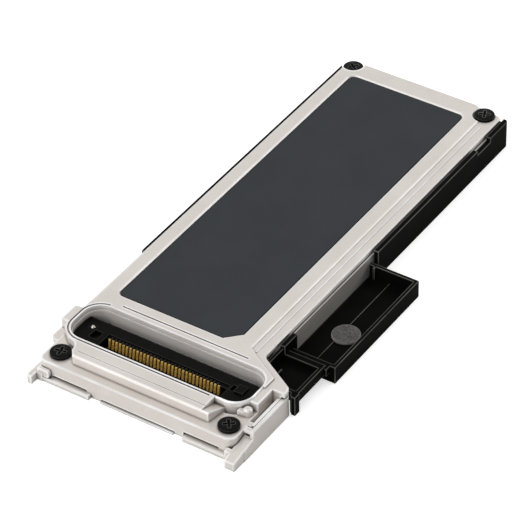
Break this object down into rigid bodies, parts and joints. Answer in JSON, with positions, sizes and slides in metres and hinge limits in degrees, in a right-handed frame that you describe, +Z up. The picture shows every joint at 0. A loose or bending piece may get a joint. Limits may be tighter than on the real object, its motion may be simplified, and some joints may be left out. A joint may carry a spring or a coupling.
{
  "type": "solid state drive canister",
  "caption": "Slim removable drive canister: cast silver cover with a dark heat panel, a long board connector in its head, black case with side tray, screwed together.",
  "frame": {"origin": "under the middle of the whole part, on its flat underside", "axes": "+X across the canister towards the side tray, +Y along it from the connector end to the plain end, +Z up out of the dark heat panel"},
  "size_m": [0.0504, 0.114, 0.0069],
  "materials": {
    "cast_cover": "die cast, fine blasted, plated silver grey",
    "panel_paint": "matt slate grey coating",
    "cast_base": "die cast, fine blasted, plated silver grey",
    "case_plastic": "moulded black, fine texture",
    "pan_steel": "plain rolled sheet",
    "film": "thin black film",
    "drive_circuit": "dark green solder mask",
    "thermal_pad": "soft silicone",
    "standoff_brass": "turned",
    "screw_steel": "plated",
    "adapter_circuit": "near black solder mask",
    "connector_plastic": "moulded black",
    "contact_gold": "gold flash over copper alloy",
    "pin_steel": "plain",
    "pad_felt": "grey felt",
    "capacitor": "ceramic",
    "chip": "moulded package",
    "screw_black": "black plated steel"
  },
  "bodies": {
    "root": {"top_cover": "cast_cover", "heat_panel": "panel_paint", "base_plate": "cast_base", "bottom_case": "case_plastic", "drive_pan": "pan_steel", "insulating_film": "film", "drive_board": "drive_circuit", "thermal_pad": "thermal_pad", "drive_standoff": "standoff_brass", "drive_screw": "screw_steel", "adapter_board": "adapter_circuit", "drive_socket": "connector_plastic", "connector_housing": "connector_plastic", "connector_contacts": "contact_gold", "guide_pin": "pin_steel", "tray_pad": "pad_felt", "drive_capacitors": "capacitor", "controller_chip": "chip", "cache_chip": "chip", "memory_chip_front": "chip", "memory_chip_back": "chip", "power_chip": "chip", "screw_front_left": "screw_black", "screw_front_right": "screw_black", "screw_back_left": "screw_black", "screw_back_right": "screw_black", "adapter_screw_left": "screw_steel", "adapter_screw_right": "screw_steel"}
  },
  "joints": []
}
